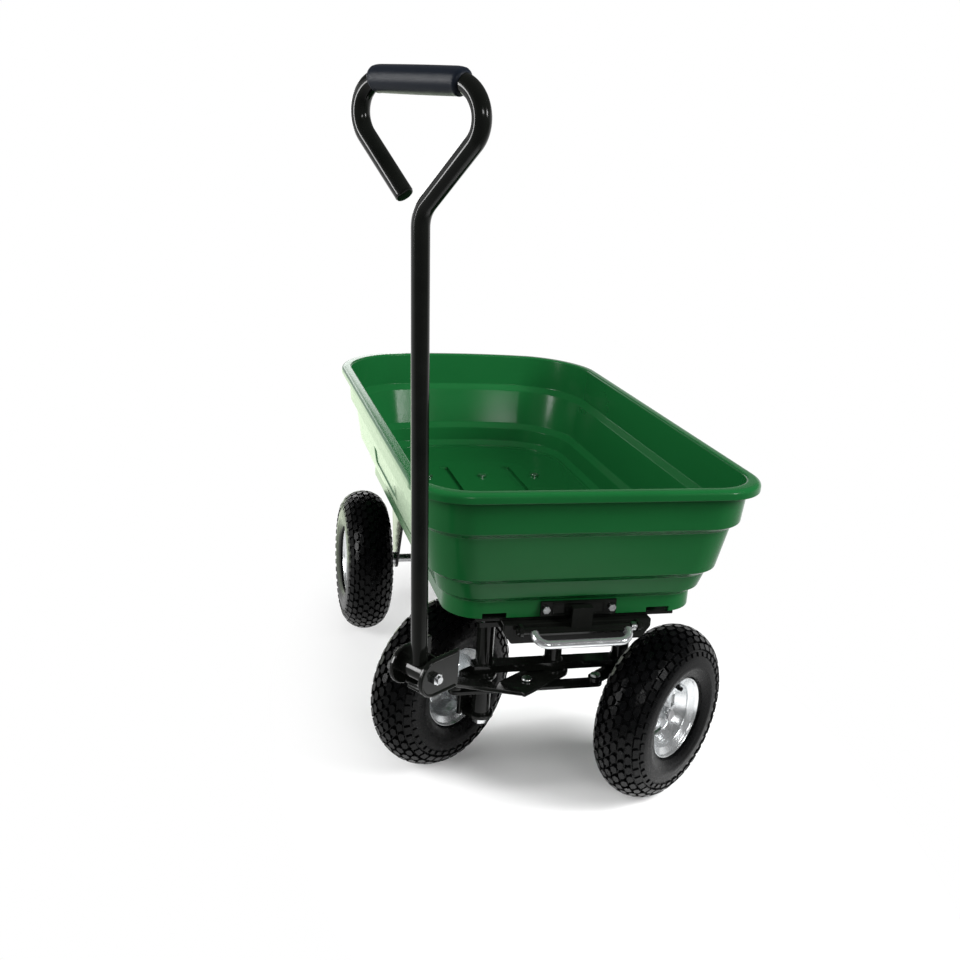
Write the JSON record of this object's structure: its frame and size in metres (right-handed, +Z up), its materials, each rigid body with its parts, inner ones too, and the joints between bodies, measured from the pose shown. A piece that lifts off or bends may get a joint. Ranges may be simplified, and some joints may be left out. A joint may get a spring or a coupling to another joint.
{
  "type": "tipping dump cart",
  "caption": "Garden dump cart: moulded tray that tips on a rear hinge, latch at the front, steered front wheels on a drawbar and a folding loop handle.",
  "frame": {"origin": "on the ground, under the middle of the overall box", "axes": "+Z up, +Y to the rear of the cart, +X across it"},
  "size_m": [0.6199, 1.0341, 1.0137],
  "materials": {
    "tray_plastic": "glossy moulded",
    "black_coat": "gloss powder coat",
    "bright_zinc": "bright zinc plate",
    "bare_steel": "turned",
    "tyre_rubber": "matte",
    "grip_foam": "matte foam"
  },
  "bodies": {
    "chassis": {"cross_member": "black_coat", "rail_left": "black_coat", "rail_right": "black_coat", "bolster": "black_coat", "axle_beam": "black_coat", "axle_posts": "black_coat", "pivot_bolts": "bright_zinc", "pivot_nuts": "bright_zinc", "rear_cross": "black_coat", "rear_bracket_left": "black_coat", "rear_bracket_right": "black_coat", "rear_axle": "bare_steel", "rear_collars": "bare_steel", "rear_axle_nuts": "bright_zinc", "hinge_pin": "bare_steel", "latch_ears": "black_coat"},
    "tray": {"tray": "tray_plastic", "catch_bracket": "black_coat", "catch_bolts": "bright_zinc", "bed_rail_left": "black_coat", "bed_rail_right": "black_coat", "bed_crossbars": "black_coat", "bed_front_bar": "black_coat", "hinge_straps": "black_coat", "floor_bolts": "bright_zinc"},
    "latch": {"latch_bar": "bright_zinc", "latch_plate": "black_coat", "latch_spring": "bright_zinc"},
    "yoke": {"yoke_plate": "black_coat", "yoke_arm": "black_coat", "clevis": "black_coat", "clevis_bolt": "bright_zinc"},
    "knuckle_left": {"knuckle_left": "black_coat", "spindle_left": "bare_steel", "spindle_nut_left": "bright_zinc"},
    "knuckle_right": {"knuckle_right": "black_coat", "spindle_right": "bare_steel", "spindle_nut_right": "bright_zinc"},
    "tie": {"tie_bar": "black_coat", "tie_pins": "bright_zinc"},
    "handle": {"handle_eye": "black_coat", "handle_tube": "black_coat", "foam_grip": "grip_foam"},
    "wheel_front_left": {"tyre_front_left": "tyre_rubber", "rim_front_left": "bright_zinc", "hub_front_left": "bright_zinc", "bearings_front_left": "bare_steel"},
    "wheel_front_right": {"tyre_front_right": "tyre_rubber", "rim_front_right": "bright_zinc", "hub_front_right": "bright_zinc", "bearings_front_right": "bare_steel"},
    "wheel_rear_left": {"tyre_rear_left": "tyre_rubber", "rim_rear_left": "bright_zinc", "hub_rear_left": "bright_zinc", "bearings_rear_left": "bare_steel"},
    "wheel_rear_right": {"tyre_rear_right": "tyre_rubber", "rim_rear_right": "bright_zinc", "hub_rear_right": "bright_zinc", "bearings_rear_right": "bare_steel"}
  },
  "joints": [
    {"name": "tray_tip", "type": "hinge", "parent": "chassis", "child": "tray", "pos_m": [0.03719, 0.42609, 0.284], "axis": [-1, 0, 0], "range_deg": [0, 75]},
    {"name": "latch_release", "type": "hinge", "parent": "chassis", "child": "latch", "pos_m": [0.03719, -0.34191, 0.295], "axis": [1, 0, 0], "range_deg": [0, 25], "stiffness_Nm_per_rad": 0.6, "springref_deg": -28.65},
    {"name": "yoke_steer", "type": "hinge", "parent": "chassis", "child": "yoke", "pos_m": [0.03719, -0.23991, 0.178], "axis": [0, 0, 1], "range_deg": [0, 111]},
    {"name": "knuckle_left_steer", "type": "hinge", "parent": "chassis", "child": "knuckle_left", "pos_m": [-0.07081, -0.23991, 0.178], "axis": [0, 0, 1], "range_deg": [0, 111]},
    {"name": "knuckle_right_steer", "type": "hinge", "parent": "chassis", "child": "knuckle_right", "pos_m": [0.14519, -0.23991, 0.178], "axis": [0, 0, 1], "range_deg": [0, 111]},
    {"name": "tie_swing", "type": "hinge", "parent": "yoke", "child": "tie", "pos_m": [-0.01226, -0.27389, 0.175], "axis": [0, 0, 1], "range_deg": [-111, 0]},
    {"name": "handle_fold", "type": "hinge", "parent": "yoke", "child": "handle", "pos_m": [-0.20511, -0.40643, 0.278], "axis": [0.5664, -0.8241, 0], "range_deg": [-8, 95]},
    {"name": "wheel_front_left_spin", "type": "hinge", "parent": "knuckle_left", "child": "wheel_front_left", "pos_m": [-0.11613, -0.17398, 0.135], "axis": [0.5664, -0.8241, 0], "continuous": true},
    {"name": "wheel_front_right_spin", "type": "hinge", "parent": "knuckle_right", "child": "wheel_front_right", "pos_m": [0.1905, -0.30584, 0.135], "axis": [0.5664, -0.8241, 0], "continuous": true},
    {"name": "wheel_rear_left_spin", "type": "hinge", "parent": "chassis", "child": "wheel_rear_left", "pos_m": [-0.16781, 0.33009, 0.135], "axis": [1, 0, 0], "continuous": true},
    {"name": "wheel_rear_right_spin", "type": "hinge", "parent": "chassis", "child": "wheel_rear_right", "pos_m": [0.24219, 0.33009, 0.135], "axis": [1, 0, 0], "continuous": true}
  ],
  "couplings": [
    {"joint": "knuckle_left_steer", "follows": "yoke_steer", "ratio": 1},
    {"joint": "knuckle_right_steer", "follows": "yoke_steer", "ratio": 1},
    {"joint": "tie_swing", "follows": "yoke_steer", "ratio": -1}
  ]
}
